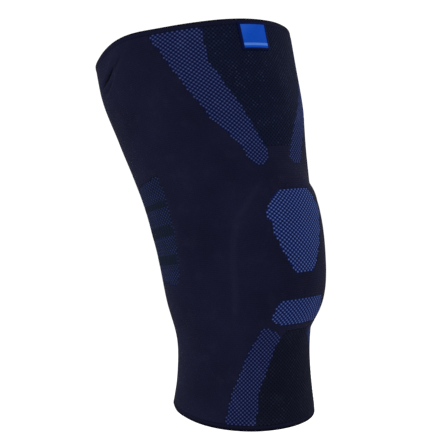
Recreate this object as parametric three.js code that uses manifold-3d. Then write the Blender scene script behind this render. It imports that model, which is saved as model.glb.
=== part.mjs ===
import * as THREE from "three";
import Module from "manifold-3d";

// A knitted knee sleeve in the form it has on a slightly bent leg. Millimetres, +Z up.
// The kneecap faces -Y, and the origin is the middle of the hollow at the kneecap's height.
// Angles go round the leg in degrees: 0 is the kneecap, 90 is +X and 180 is the hollow of the knee.

// Lengths along the middle line of the leg, from the kneecap's height
const THIGH_LENGTH = 157;
const CALF_LENGTH = 128;

// How the leg stands: each end's lean from upright, and how far from the knee the bend is spread
const THIGH_LEAN = 20.5;
const SHIN_LEAN = 4;
const BEND_REACH = 50;

// The knit: its face layer, the backing layer behind it, and the gap between pieces
const FACE_THICKNESS = 1;
const BACKING_THICKNESS = 1.3;
const SEAM_GAP = 0.3;

// Sizes round the leg: whole width, and reach from the middle line to the front and to the back
const THIGH_EDGE_WIDTH = 154;
const THIGH_EDGE_FRONT = 77;
const THIGH_EDGE_BACK = 74.5;
const KNEE_WIDTH = 121;
const KNEE_FRONT = 57.5;
const KNEE_BACK = 60.5;
const CALF_NECK_WIDTH = 95;
const CALF_NECK_FRONT = 52;
const CALF_NECK_BACK = 55;
const CALF_EDGE_WIDTH = 104;
const CALF_EDGE_FRONT = 51.5;
const CALF_EDGE_BACK = 62;
const SECTION_SQUARENESS = 2.05;

// The bulge of the kneecap and its ring pad
const BULGE_RISE = 14;
const BULGE_HALF_WIDTH = 51;
const BULGE_TOP = 41;
const BULGE_BOTTOM = 65;

// The two finished edges: height, how far the front drops, and the wave of the upper one
const THIGH_WELT = 4;
const CALF_WELT = 3;
const THIGH_EDGE_TILT = 6;
const CALF_EDGE_TILT = 6;
const THIGH_EDGE_WAVE = 4.4;

// Folds where the upper back is slack
const FOLD_DEPTH = 2.4;
const FOLD_WIDTH = 7;
const FOLD_LENGTH = 30;

// Face knits: how far each reaches round the leg, in degrees from its middle
const KNEECAP_MESH_REACH = 22;
const TENDON_BAND_REACH = 22;
const HOLLOW_MESH_REACH = 95;

// The woven label at the front of the upper edge
const LABEL_WIDTH = 24;
const LABEL_HEIGHT = 19.5;
const LABEL_THICKNESS = 0.9;
const LABEL_DROP = 3.5;
const LABEL_TURN = -4;

// Fineness of the faceted net, round the leg and along it
const NET_AROUND = 36;
const NET_ALONG = 30;

const wall = FACE_THICKNESS + SEAM_GAP + BACKING_THICKNESS;
const recessDepth = FACE_THICKNESS + SEAM_GAP;

const thighEdge = { width: THIGH_EDGE_WIDTH, front: THIGH_EDGE_FRONT, back: THIGH_EDGE_BACK };
const knee = { width: KNEE_WIDTH, front: KNEE_FRONT, back: KNEE_BACK };
const calfNeck = { width: CALF_NECK_WIDTH, front: CALF_NECK_FRONT, back: CALF_NECK_BACK };
const calfEdge = { width: CALF_EDGE_WIDTH, front: CALF_EDGE_FRONT, back: CALF_EDGE_BACK };

// Sections along the leg. along: share of the calf length below the knee, or of the thigh length above it.
// width, front and back: share of the way from one station's size to the next one's.
const sections = [
  { along: -1.0, from: calfNeck, to: calfEdge, width: 1.0, front: 1.0, back: 1.0 },
  { along: -0.8, from: calfNeck, to: calfEdge, width: 0.0, front: 0.0, back: 0.36 },
  { along: -0.55, from: knee, to: calfNeck, width: 1.0, front: 0.9, back: 1.0 },
  { along: -0.3, from: knee, to: calfNeck, width: 0.31, front: 0.36, back: 0.45 },
  { along: 0.0, from: knee, to: thighEdge, width: 0.0, front: 0.0, back: 0.0 },
  { along: 0.3, from: knee, to: thighEdge, width: 0.24, front: 0.38, back: 0.21 },
  { along: 0.6, from: knee, to: thighEdge, width: 0.73, front: 0.79, back: 0.57 },
  { along: 0.85, from: knee, to: thighEdge, width: 1.03, front: 0.83, back: 1.1 },
  { along: 1.0, from: knee, to: thighEdge, width: 1.0, front: 1.0, back: 1.0 },
];

// The upper edge's wave round the leg. lift: share of the wave's height.
const edgeWave = [
  { angle: -180, lift: 0 },
  { angle: -132, lift: 0 },
  { angle: -109, lift: -0.35 },
  { angle: -85, lift: 1 },
  { angle: -57, lift: 0 },
  { angle: -30, lift: -0.2 },
  { angle: 0, lift: 0 },
  { angle: 180, lift: 0 },
];

// The folds at the upper back. along: share of the thigh length. slant: degrees from level.
const folds = [
  { angle: -99, along: 0.94, slant: 35, depth: 1.0 },
  { angle: -103, along: 0.85, slant: 40, depth: 0.9 },
  { angle: -107, along: 0.73, slant: 45, depth: 0.6 },
];

// Face knits, row by row, with angles in degrees, or reach as a share of the face knit's own reach.
// along, for the bands: share of the way from the top of the bulge up to the upper welt, or below zero
// from the foot of the tendon band down to the lower welt. For the two on the kneecap: share of the bulge.
// For the hollow of the knee: share of the length from the knee to the welt.
const thighBand = [
  { along: 1.0, outer: 63, inner: 34 },
  { along: 0.75, outer: 54.5, inner: 34 },
  { along: 0.55, outer: 47.5, inner: 27 },
  { along: 0.36, outer: 40, inner: 19.5 },
  { along: 0.235, outer: 31.5, inner: 15 },
  { along: 0.14, outer: 26, inner: 11 },
  { along: 0.07, outer: 23.5, inner: 8.5 },
  { along: 0.015, outer: 19, inner: 14 },
];
const thighPanelFoot = { along: 0.14, reach: 11 };
const shinBand = [
  { along: -0.015, outer: 28, inner: 25.5 },
  { along: -0.12, outer: 31, inner: 11.5 },
  { along: -0.245, outer: 37, inner: 17 },
  { along: -0.5, outer: 46.5, inner: 25 },
  { along: -0.66, outer: 53, inner: 31 },
  { along: -1.0, outer: 60, inner: 35 },
];
const shinPanelHead = { along: -0.05, reach: 9 };
const kneecapMesh = [
  { along: 0.61, reach: 0.52 },
  { along: 0.34, reach: 1.0 },
  { along: 0.24, reach: 1.0 },
  { along: 0.14, reach: 0.86 },
  { along: 0.0, reach: 0.86 },
  { along: -0.11, reach: 0.73 },
  { along: -0.2, reach: 0.6 },
  { along: -0.29, reach: 0.45 },
  { along: -0.35, reach: 0.25 },
];
const tendonBand = [
  { along: -0.585, reach: 0.82 },
  { along: -0.73, reach: 1.0 },
  { along: -0.79, reach: 0.98 },
  { along: -0.85, reach: 0.7 },
];
const hollowMesh = [
  { along: 0.36, reach: 0.98 },
  { along: 0.25, reach: 1.0 },
  { along: 0.05, reach: 0.99 },
  { along: -0.12, reach: 0.96 },
  { along: -0.2, reach: 0.92 },
];

const wasm = await Module();
wasm.setup();

const radians = THREE.MathUtils.degToRad;
const degrees = THREE.MathUtils.radToDeg;

// A smooth curve through the rows of a table.
function through(places, values, place) {
  const last = places.length - 1;
  const x = THREE.MathUtils.clamp(place, places[0], places[last]);
  let i = 0;
  while (i < last - 1 && x > places[i + 1]) i += 1;
  const rise = (k) => (values[k + 1] - values[k]) / (places[k + 1] - places[k]);
  const slope = (k) => {
    if (k === 0) return rise(0);
    if (k === last) return rise(last - 1);
    const before = places[k] - places[k - 1];
    const after = places[k + 1] - places[k];
    return (rise(k - 1) * after + rise(k) * before) / (before + after);
  };
  const span = places[i + 1] - places[i];
  const t = (x - places[i]) / span;
  const s = 1 - t;
  return (
    (1 + 2 * t) * s * s * values[i] +
    t * s * s * span * slope(i) +
    t * t * (3 - 2 * t) * values[i + 1] -
    t * t * s * span * slope(i + 1)
  );
}

// Straight lines through the rows of a table whose places rise.
function between(places, values, place) {
  const last = places.length - 1;
  let i = 0;
  while (i < last - 1 && place > places[i + 1]) i += 1;
  const t = THREE.MathUtils.clamp((place - places[i]) / (places[i + 1] - places[i]), 0, 1);
  return THREE.MathUtils.lerp(values[i], values[i + 1], t);
}

const sectionPlaces = sections.map((row) => row.along * (row.along < 0 ? CALF_LENGTH : THIGH_LENGTH));
function sectionSize(name, along) {
  const sizes = sections.map((row) => THREE.MathUtils.lerp(row.from[name], row.to[name], row[name]));
  return through(sectionPlaces, sizes, along);
}

function leanAt(along) {
  const blend = THREE.MathUtils.smoothstep(along, -BEND_REACH, BEND_REACH);
  return radians(THREE.MathUtils.lerp(SHIN_LEAN, THIGH_LEAN, blend));
}

// The middle line of the leg in the Y-Z plane.
function middleLine(along) {
  const steps = 24;
  const step = along / steps;
  const point = new THREE.Vector3();
  for (let i = 0; i < steps; i += 1) {
    const lean = leanAt((i + 0.5) * step);
    point.y += Math.sin(lean) * step;
    point.z += Math.cos(lean) * step;
  }
  return point;
}

// How far the kneecap and its pad push the knit out.
function bulge(angle, along, meanRadius) {
  const arc = radians(angle) * meanRadius;
  const middle = (BULGE_TOP - BULGE_BOTTOM) / 2;
  const half = (BULGE_TOP + BULGE_BOTTOM) / 2;
  const inside = 1 - Math.abs(arc / BULGE_HALF_WIDTH) ** 2.2 - Math.abs((along - middle) / half) ** 2.6;
  return BULGE_RISE * Math.max(inside, 0) ** 0.65;
}

// How deep the folds at the upper back press the knit in.
function foldDepth(angle, along, radius) {
  return folds.reduce((depth, fold) => {
    const across = radians(angle - fold.angle) * radius;
    const up = along - fold.along * THIGH_LENGTH;
    const slant = radians(fold.slant);
    const lengthwise = across * Math.cos(slant) + up * Math.sin(slant);
    const sideways = up * Math.cos(slant) - across * Math.sin(slant);
    const fade = Math.exp(-((lengthwise / (FOLD_LENGTH / 2)) ** 2) - (sideways / (FOLD_WIDTH / 2)) ** 2);
    return depth + FOLD_DEPTH * fold.depth * fade;
  }, 0);
}

// A point of the outer side, for an angle round the leg from -180 to 180.
function outerPoint(angle, along) {
  const halfWidth = sectionSize("width", along) / 2;
  const front = sectionSize("front", along);
  const toFront = Math.cos(radians(angle));
  const toSide = Math.sin(radians(angle));
  const reach = toFront >= 0 ? front : sectionSize("back", along);
  const n = SECTION_SQUARENESS;
  const round = (Math.abs(toSide / halfWidth) ** n + Math.abs(toFront / reach) ** n) ** (-1 / n);
  const swell = toFront > 0 ? bulge(angle, along, (halfWidth + front) / 2) : 0;
  const radius = round + swell - foldDepth(angle, along, round);
  const upper = THREE.MathUtils.clamp(along / THIGH_LENGTH, 0, 1);
  const lower = THREE.MathUtils.clamp(-along / CALF_LENGTH, 0, 1);
  const upperTilt = upper ** 2 * Math.tan(radians(THIGH_EDGE_TILT));
  const lowerTilt = lower ** 2 * Math.tan(radians(CALF_EDGE_TILT));
  const lifts = edgeWave.map((row) => row.lift * THIGH_EDGE_WAVE);
  const wave = through(edgeWave.map((row) => row.angle), lifts, angle) * upper ** 3;
  const place = along - (upperTilt + lowerTilt) * radius * toFront + wave;
  const lean = leanAt(place);
  const forward = new THREE.Vector3(0, -Math.cos(lean), Math.sin(lean));
  const side = new THREE.Vector3(1, 0, 0);
  return middleLine(place).addScaledVector(side, radius * toSide).addScaledVector(forward, radius * toFront);
}

function outwardNormal(angle, along) {
  const turn = 0.5;
  const rise = 0.5;
  const wrap = (a) => THREE.MathUtils.euclideanModulo(a + 180, 360) - 180;
  const round = outerPoint(wrap(angle + turn), along).sub(outerPoint(wrap(angle - turn), along));
  const up = outerPoint(angle, along + rise).sub(outerPoint(angle, along - rise));
  return round.cross(up).normalize();
}

// The net: every point of the outer side and its outward direction, by column round the leg and row along it.
const netStep = 360 / NET_AROUND;
const rowPlaces = Array.from({ length: NET_ALONG + 1 }, (_, row) =>
  THREE.MathUtils.lerp(-CALF_LENGTH, THIGH_LENGTH, row / NET_ALONG),
);
const net = Array.from({ length: NET_AROUND }, (_, column) => {
  const angle = column * netStep > 180 ? column * netStep - 360 : column * netStep;
  return rowPlaces.map((along) => ({
    point: outerPoint(angle, along),
    normal: outwardNormal(angle, along),
  }));
});

function blend(corners, key, u, v) {
  const low = corners[0][key].clone().lerp(corners[1][key], u);
  const high = corners[2][key].clone().lerp(corners[3][key], u);
  return low.lerp(high, v);
}

// The pieces are cut on a plain barrel, the blank, before they are formed. Its camber keeps the facets
// of neighbouring rows out of one plane, and its radius runs in straight lines between the net's rows.
const barrelRadius = KNEE_WIDTH / 2;
const barrelCamber = barrelRadius / 10;
const barrelRadii = rowPlaces.map((_, row) => barrelRadius - barrelCamber * ((2 * row) / NET_ALONG - 1) ** 2);
const blankRadius = (along) => between(rowPlaces, barrelRadii, along);
const cutReach = 2 * wall;

// The formed place of a point of the blank: its angle, height and depth under the blank's facets
// become the same angle, height and depth under the facets of the net.
function formed(x, y, z) {
  const angle = THREE.MathUtils.euclideanModulo(degrees(Math.atan2(x, -y)), 360);
  const column = Math.min(Math.floor(angle / netStep), NET_AROUND - 1);
  const offMiddle = radians(angle - (column + 0.5) * netStep);
  const halfStep = radians(netStep / 2);
  const u = 0.5 + Math.tan(offMiddle) / (2 * Math.tan(halfStep));
  const depth = blankRadius(z) - (Math.hypot(x, y) * Math.cos(offMiddle)) / Math.cos(halfStep);
  const place = ((z + CALF_LENGTH) / (THIGH_LENGTH + CALF_LENGTH)) * NET_ALONG;
  const row = THREE.MathUtils.clamp(Math.floor(place), 0, NET_ALONG - 1);
  const next = (column + 1) % NET_AROUND;
  const corners = [net[column][row], net[next][row], net[column][row + 1], net[next][row + 1]];
  const point = blend(corners, "point", u, place - row);
  return point.addScaledVector(blend(corners, "normal", u, place - row), -depth);
}

function blankPoint(angle, depth, along) {
  const radius = blankRadius(along) - depth;
  return [radius * Math.sin(radians(angle)), -radius * Math.cos(radians(angle)), along];
}

// A solid between an inner and an outer sheet of points, given as rows of columns. A closed sheet
// goes all the way round, and its last column joins its first.
function solidBetween(outer, inner, closed) {
  const rows = outer.length;
  const columns = outer[0].length;
  const points = [...outer.flat(), ...inner.flat()];
  const at = (sheet, row, column) => (sheet * rows + row) * columns + (column % columns);
  const triangles = [];
  const quad = (a, b, c, d) => triangles.push(a, b, c, a, c, d);
  const steps = closed ? columns : columns - 1;
  for (let row = 0; row < rows - 1; row += 1) {
    for (let k = 0; k < steps; k += 1) {
      quad(at(0, row, k), at(0, row, k + 1), at(0, row + 1, k + 1), at(0, row + 1, k));
      quad(at(1, row, k), at(1, row + 1, k), at(1, row + 1, k + 1), at(1, row, k + 1));
    }
    if (!closed) {
      quad(at(0, row, 0), at(0, row + 1, 0), at(1, row + 1, 0), at(1, row, 0));
      quad(at(0, row, steps), at(1, row, steps), at(1, row + 1, steps), at(0, row + 1, steps));
    }
  }
  for (let k = 0; k < steps; k += 1) {
    quad(at(0, 0, k), at(1, 0, k), at(1, 0, k + 1), at(0, 0, k + 1));
    quad(at(0, rows - 1, k), at(0, rows - 1, k + 1), at(1, rows - 1, k + 1), at(1, rows - 1, k));
  }
  return new wasm.Manifold(
    new wasm.Mesh({
      numProp: 3,
      vertProperties: new Float32Array(points.flat()),
      triVerts: new Uint32Array(triangles),
    }),
  );
}

// A length of the blank's tube, between two heights and two depths.
function blankTube(low, high, outerDepth, innerDepth) {
  const inside = rowPlaces.filter((place) => place > low + SEAM_GAP && place < high - SEAM_GAP);
  const ring = (along, depth) =>
    Array.from({ length: NET_AROUND }, (_, k) => blankPoint(k * netStep, depth, along));
  const rows = [low, ...inside, high];
  return solidBetween(
    rows.map((along) => ring(along, outerDepth)),
    rows.map((along) => ring(along, innerDepth)),
    true,
  );
}

// Heights between the knee and the welts, on the bulge, or on the bands, from a share of their length.
const sleeveTop = THIGH_LENGTH - THIGH_WELT - SEAM_GAP;
const sleeveFoot = -(CALF_LENGTH - CALF_WELT - SEAM_GAP);
const legHeight = (share) => (share < 0 ? -share * sleeveFoot : share * sleeveTop);
const bulgeHeight = (share) => share * (share < 0 ? BULGE_BOTTOM : BULGE_TOP);
const tendonFoot = bulgeHeight(tendonBand[tendonBand.length - 1].along);
const bandHeight = (share) => {
  const [start, end] = share < 0 ? [tendonFoot, sleeveFoot] : [BULGE_TOP, sleeveTop];
  return THREE.MathUtils.lerp(start, end, Math.abs(share));
};

// The rows of each face knit, from the lowest to the highest, with the angles where it begins and ends.
function bandRows(table, side) {
  return table
    .map((row) => ({
      along: bandHeight(row.along),
      from: side < 0 ? -row.outer : row.inner,
      to: side < 0 ? -row.inner : row.outer,
    }))
    .sort((a, b) => a.along - b.along);
}

function evenRows(table, height, middle, reach) {
  return table
    .map((row) => ({
      along: height(row.along),
      from: middle - row.reach * reach,
      to: middle + row.reach * reach,
    }))
    .sort((a, b) => a.along - b.along);
}

// A panel fills the room between a pair of bands, down or up to its own end row.
function panelRows(table, end) {
  const beyond = (row) => Math.abs(row.along) > Math.abs(end.along);
  const rows = table.filter(beyond).map((row) => ({ along: row.along, reach: row.inner }));
  return evenRows([...rows, end], bandHeight, 0, 1);
}

// A wedge of the blank over the rows of a face knit, grown or, below zero, shrunk all round.
function wedge(rows, grow) {
  const angleGrow = degrees(grow / barrelRadius);
  const places = rows.map((row) => row.along);
  const low = places[0];
  const high = places[places.length - 1];
  const atEnd = (place) => place <= sleeveFoot + SEAM_GAP || place >= sleeveTop - SEAM_GAP;
  const grown = (place, way) => place + way * (atEnd(place) ? Math.max(grow, 0) : grow);
  const heights = [grown(low, -1), ...places.slice(1, -1), grown(high, 1)];
  const widest = Math.max(...rows.map((row) => row.to - row.from));
  const columns = Math.max(Math.ceil(widest / netStep), 2);
  const sheet = (depth) =>
    heights.map((along) => {
      const from = between(places, rows.map((row) => row.from), along) - angleGrow;
      const to = between(places, rows.map((row) => row.to), along) + angleGrow;
      return Array.from({ length: columns + 1 }, (_, k) =>
        blankPoint(THREE.MathUtils.lerp(from, to, k / columns), depth, along),
      );
    });
  return solidBetween(sheet(-cutReach), sheet(cutReach), false);
}

function formedMesh(name, blank, material) {
  const { vertProperties, triVerts } = blank.getMesh();
  const positions = new Float32Array(vertProperties.length);
  for (let i = 0; i < vertProperties.length; i += 3) {
    formed(vertProperties[i], vertProperties[i + 1], vertProperties[i + 2]).toArray(positions, i);
  }
  const geometry = new THREE.BufferGeometry();
  geometry.setAttribute("position", new THREE.BufferAttribute(positions, 3));
  geometry.setIndex(new THREE.BufferAttribute(new Uint32Array(triVerts), 1));
  geometry.computeVertexNormals();
  const mesh = new THREE.Mesh(geometry, material);
  mesh.name = name;
  return mesh;
}

function cloth(name, color, roughness) {
  return new THREE.MeshStandardMaterial({ name, color, roughness, metalness: 0 });
}

const plainKnit = cloth("plain_knit", 0x171826, 0.85);
const panelKnit = cloth("panel_knit", 0x0f1018, 0.9);
const blueMesh = cloth("blue_mesh", 0x2b3f86, 0.8);
const hollowKnit = cloth("hollow_knit", 0x1a2140, 0.85);
const weltKnit = cloth("welt_knit", 0x101119, 0.85);
const wovenLabel = cloth("woven_label", 0x1240ac, 0.6);

const faceKnits = [
  { name: "thigh_mesh_band_left", rows: bandRows(thighBand, -1), material: blueMesh },
  { name: "thigh_mesh_band_right", rows: bandRows(thighBand, 1), material: blueMesh },
  {
    name: "thigh_front_panel",
    rows: panelRows(thighBand, thighPanelFoot),
    material: panelKnit,
  },
  { name: "shin_mesh_band_left", rows: bandRows(shinBand, -1), material: blueMesh },
  { name: "shin_mesh_band_right", rows: bandRows(shinBand, 1), material: blueMesh },
  { name: "shin_front_panel", rows: panelRows(shinBand, shinPanelHead), material: panelKnit },
  {
    name: "kneecap_mesh",
    rows: evenRows(kneecapMesh, bulgeHeight, 0, KNEECAP_MESH_REACH),
    material: blueMesh,
  },
  {
    name: "tendon_mesh_band",
    rows: evenRows(tendonBand, bulgeHeight, 0, TENDON_BAND_REACH),
    material: blueMesh,
  },
  {
    name: "knee_hollow_mesh",
    rows: evenRows(hollowMesh, legHeight, 180, HOLLOW_MESH_REACH),
    material: hollowKnit,
  },
];

// The main tube, with a recess for each face knit.
function knitSleeve() {
  const recessShell = blankTube(-CALF_LENGTH, THIGH_LENGTH, -cutReach / 2, recessDepth);
  const tube = blankTube(sleeveFoot, sleeveTop, 0, wall);
  const recess = (face) => recessShell.intersect(wedge(face.rows, SEAM_GAP));
  return faceKnits.reduce((sleeve, face) => sleeve.subtract(recess(face)), tube);
}

function faceKnit(face) {
  const shell = blankTube(sleeveFoot, sleeveTop, 0, FACE_THICKNESS);
  return shell.intersect(wedge(face.rows, -SEAM_GAP / 2));
}

// A patch on the outer side, hanging from just under the upper edge.
function label() {
  const shell = blankTube(0, THIGH_LENGTH, -(SEAM_GAP + LABEL_THICKNESS), -SEAM_GAP);
  const reach = degrees(LABEL_WIDTH / 2 / THIGH_EDGE_FRONT);
  const top = THIGH_LENGTH - LABEL_DROP;
  const rows = [top - LABEL_HEIGHT, top].map((along) => ({
    along,
    from: LABEL_TURN - reach,
    to: LABEL_TURN + reach,
  }));
  return shell.intersect(wedge(rows, 0));
}

const kneeSleeve = new THREE.Group();
kneeSleeve.add(
  formedMesh("knit_sleeve", knitSleeve(), plainKnit),
  formedMesh("top_welt", blankTube(THIGH_LENGTH - THIGH_WELT, THIGH_LENGTH, 0, wall), weltKnit),
  formedMesh("bottom_welt", blankTube(-CALF_LENGTH, CALF_WELT - CALF_LENGTH, 0, wall), weltKnit),
  ...faceKnits.map((face) => formedMesh(face.name, faceKnit(face), face.material)),
  formedMesh("label", label(), wovenLabel),
);

export default kneeSleeve;
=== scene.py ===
import math

import bpy
import numpy as np
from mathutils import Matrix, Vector
from mathutils.bvhtree import BVHTree


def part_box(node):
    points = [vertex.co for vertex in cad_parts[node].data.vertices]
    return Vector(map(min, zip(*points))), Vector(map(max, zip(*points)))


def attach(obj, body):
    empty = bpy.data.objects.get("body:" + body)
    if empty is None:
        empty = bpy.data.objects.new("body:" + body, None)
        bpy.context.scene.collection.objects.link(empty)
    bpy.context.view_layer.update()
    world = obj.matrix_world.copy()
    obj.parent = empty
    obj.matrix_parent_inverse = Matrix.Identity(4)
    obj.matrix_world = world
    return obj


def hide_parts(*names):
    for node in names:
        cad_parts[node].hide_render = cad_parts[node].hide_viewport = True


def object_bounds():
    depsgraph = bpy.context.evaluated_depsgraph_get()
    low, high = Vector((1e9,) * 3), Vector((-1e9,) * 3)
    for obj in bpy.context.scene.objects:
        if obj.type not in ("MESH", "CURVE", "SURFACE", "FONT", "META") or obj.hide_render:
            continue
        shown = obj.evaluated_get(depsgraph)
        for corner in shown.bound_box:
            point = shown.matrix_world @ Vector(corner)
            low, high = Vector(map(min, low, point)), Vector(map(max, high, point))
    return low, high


# The looks of a knitted knee sleeve, knitted stitch by stitch over its frame. Metres, +Z up.
# Angles go round the leg in degrees: 0 is the kneecap at -Y, 90 is +X, 180 is the hollow of the knee.
# A stitch place is (wale, course): wales count round the leg from its back,
# courses count up from the calf rim.

MM = 0.001

# The knit, its courses a little further apart towards the thigh
WALES = 240
COURSES = 204
FRONT_WALE = WALES / 2
COURSE_SPREAD = 0.06

# How much closer the wales lie at the front than at the back, from the calf rim to the thigh rim
WALE_SPREAD = [
    {"share": 0.0, "closer": -0.07},
    {"share": 0.45, "closer": -0.05},
    {"share": 0.75, "closer": 0.14},
    {"share": 1.0, "closer": 0.25},
]

# How many stitches the zones have turned outward from the front, by course,
# on the camera's side and on the far one
SIDE_TURNS = [
    {"course": 0, "near": 0, "far": 6},
    {"course": 30, "near": 0, "far": 8},
    {"course": 40, "near": 0, "far": 7},
    {"course": 48, "near": 0, "far": 0},
    {"course": 130, "near": 0, "far": 0},
    {"course": 150, "near": 0.7, "far": 0},
    {"course": 176, "near": 0.7, "far": 6},
    {"course": COURSES, "near": 0.7, "far": 6},
]

# How deep the inlaid knits are sunk, as a share of the wall, and the room left under them
RECESS_SHARE = 0.4
RECESS_ROOM = 0.1 * MM

# How the cloth is read from the frame: along spokes from the middle line, no nearer a rim than the inset,
# then smoothed by so many spokes round the leg and courses along it
SPOKES = 180
SPOKE_LENGTH = 0.15
RIM_HALVINGS = 14
RIM_INSET = 0.8 * MM
RIM_SMOOTHING = 3.5
ROUND_SMOOTHING = 2.0
LENGTH_SMOOTHING = 2.5

# How far the rounded cloth stands over the frame's flat faces
LOFT = 0.5 * MM

# Stitch relief: how far the loops of each knit stand up or sink
MESH_LOOP = 0.28 * MM
PANEL_LOOP = 0.1 * MM
HOLLOW_RIB = 0.3 * MM
RIM_RIB = 0.1 * MM

# The hollow's knit: its ribs, their loss of height on the stripes, and how far all of it is sunk
RIB_SHARE = 0.6
RIB_LOSS = 0.75
RIB_SINK = 0.4

# The section of a rolled rim: its corners, and how square its rounds are (1 is round)
RIM_CORNERS = 18
RIM_SQUARENESS = 0.55

# Facets to a stitch in each knit
MESH_FINENESS = 4
PANEL_FINENESS = 3
HOLLOW_FINENESS = 3
RIM_FINENESS = 3

# Forms that the pad, the side stays and the slack cloth press into the knit
PAD_RIDGE = 0.4 * MM
PAD_RIDGE_WIDTH = 3.0 * MM
PAD_RIDGE_FADES = {"foot": 12, "head": 8}
STAY_RIDGE = 0.35 * MM
STAY_WIDTH = 5.0 * MM
STAY_ANGLE = 82
STAY_FOOT = {"share": 0.08, "fade": 0.06}
STAY_HEAD = {"share": 0.86, "fade": 0.08}
FOLD_DEPTH = 1.0 * MM
FOLD_WIDTH = 2.0 * MM
FOLD_BANKS = 0.6
FOLD_BEND = 0.12
SLACK = 0.35 * MM

# Slow waves of the slack cloth: how many lie round the leg and along it, where they start, and their size
SLACK_WAVES = [
    {"around": 3, "along": 2.1, "start": 0.6, "size": 1.0},
    {"around": 5, "along": -3.3, "start": 1.9, "size": 0.7},
    {"around": 9, "along": 4.7, "start": 4.0, "size": 0.5},
    {"around": 14, "along": -7.9, "start": 2.7, "size": 0.35},
]
SLACK_WAVES_REACH = 2.5

# The pad's edge on the near side, from above the kneecap down. Angles in degrees, along in millimetres.
PAD_EDGE = [
    {"angle": 23, "along": 39},
    {"angle": 43, "along": 15},
    {"angle": 48, "along": -11},
    {"angle": 50, "along": -50},
]

# Small folds at the slack upper back. Lengths in millimetres, slant in degrees from level.
BACK_FOLDS = [
    {"angle": -107, "along": 141, "slant": 24, "length": 26, "depth": 0.9},
    {"angle": -112, "along": 140, "slant": 26, "length": 24, "depth": 1.0},
    {"angle": -110, "along": 134.5, "slant": 26, "length": 26, "depth": 1.0},
    {"angle": 108, "along": 136, "slant": -24, "length": 26, "depth": 0.7},
    {"angle": 116, "along": 124, "slant": -28, "length": 22, "depth": 0.5},
]

# Blue stripes across the hollow of the knee, as shares of that knit's height
HOLLOW_STRIPES = [
    {"foot": 0.78, "head": 0.98},
    {"foot": 0.555, "head": 0.715},
    {"foot": 0.285, "head": 0.455},
    {"foot": 0.04, "head": 0.19},
]
STRIPE_BLUR = 0.015

# How wide that knit's blue side edges are, in stitches
STRIPE_SELVEDGE = 1.3

# How bright the yarns of each mesh zone and panel are, from 0 to 1
ZONE_TONES = {
    "thigh_mesh_band_left": 0.12,
    "thigh_mesh_band_right": 0.12,
    "kneecap_mesh": 1.0,
    "tendon_mesh_band": 0.75,
    "shin_mesh_band_left": 0.0,
    "shin_mesh_band_right": 0.0,
    "thigh_front_panel": 1.0,
    "shin_front_panel": 0.0,
}

# The label: heights, then its border, wefts, twills and plain bar as shares and counts of its side
LABEL_LIFT = 0.25 * MM
LABEL_THICKNESS = 0.7 * MM
LABEL_SELVEDGE = 0.18 * MM
LABEL_CROWN = 0.25 * MM
LABEL_BORDER = 1.5 * MM
LABEL_FACETS = (72, 60)
LABEL_EDGE = 0.085
LABEL_ROLL = 0.012
LABEL_WEFTS = 46
LABEL_TWILLS = 70.0
LABEL_BAR = {"foot": (0.155, 0.175), "head": (0.245, 0.265)}

# How far the label's corners are sewn off their places in the frame, in stitches: (wales, courses)
LABEL_SHIFTS = [(0.4, -0.7), (0.5, -0.4), (-0.2, -0.9), (-1.0, -1.15)]

# Foot left, foot right, head right and head left of a square
CORNER_WAYS = ((-1, -1), (1, -1), (1, 1), (-1, 1))

# What all the cloths share
CLOTH_SPECULAR = 0.01
CLOTH_SHEEN_ROUGHNESS = 0.45
CLOTH_SHEEN_TINT = (0.6, 0.63, 0.9, 1)

# The studio, with lamps that face the knee. Places and sizes in metres, power in watts.
LAMPS = [
    {"name": "key_light", "place": (-0.9, -0.9, 0.9), "size": 0.8, "power": 4},
    {"name": "left_rim_light", "place": (-1.1, 0.9, 0.3), "size": 0.7, "power": 6},
    {"name": "right_rim_light", "place": (1.2, -0.1, 0.3), "size": 0.6, "power": 6},
]
ROOM_LIGHT = 1.1
FLOOR_DROP = 0.25
FLOOR_REACH = 12.0

# Camera: seen from the front left, a little above the kneecap
VIEW_AZIMUTH = -42
VIEW_ELEVATION = 6.7
VIEW_DISTANCE = 0.72
FOCAL_LENGTH = 75.4
FRAME_PIXELS = 447
KNEE_PIXEL = (236.7, 244)

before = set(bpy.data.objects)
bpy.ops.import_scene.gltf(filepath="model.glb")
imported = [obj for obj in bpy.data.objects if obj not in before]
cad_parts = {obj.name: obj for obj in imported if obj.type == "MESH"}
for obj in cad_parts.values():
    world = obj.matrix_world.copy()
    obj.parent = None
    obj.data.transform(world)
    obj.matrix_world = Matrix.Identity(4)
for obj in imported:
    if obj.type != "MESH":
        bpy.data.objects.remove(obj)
cad_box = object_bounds()


def search_tree(names):
    """One search tree over the faces of some frame nodes, with the node that each face belongs to."""
    points, faces, owners = [], [], []
    for name in names:
        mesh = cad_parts[name].data
        start = len(points)
        points += [vertex.co.copy() for vertex in mesh.vertices]
        faces += [[start + corner for corner in face.vertices] for face in mesh.polygons]
        owners += [name] * len(mesh.polygons)
    return BVHTree.FromPolygons(points, faces), owners


knit_nodes = sorted(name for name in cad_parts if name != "label")
knit_tree, knit_owners = search_tree(knit_nodes)


def box_middle(name):
    """The middle of a frame node's box."""
    low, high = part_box(name)
    return (low + high) / 2


thigh_end = box_middle("top_welt")
calf_end = box_middle("bottom_welt")


def middle_line(z):
    """The leg's middle line at some heights: its y, and its slope."""
    calf = calf_end.y / (calf_end.z * (calf_end.z - thigh_end.z))
    thigh = thigh_end.y / (thigh_end.z * (thigh_end.z - calf_end.z))
    y = calf * z * (z - thigh_end.z) + thigh * z * (z - calf_end.z)
    slope = calf * (2 * z - thigh_end.z) + thigh * (2 * z - calf_end.z)
    return y, slope


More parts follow.
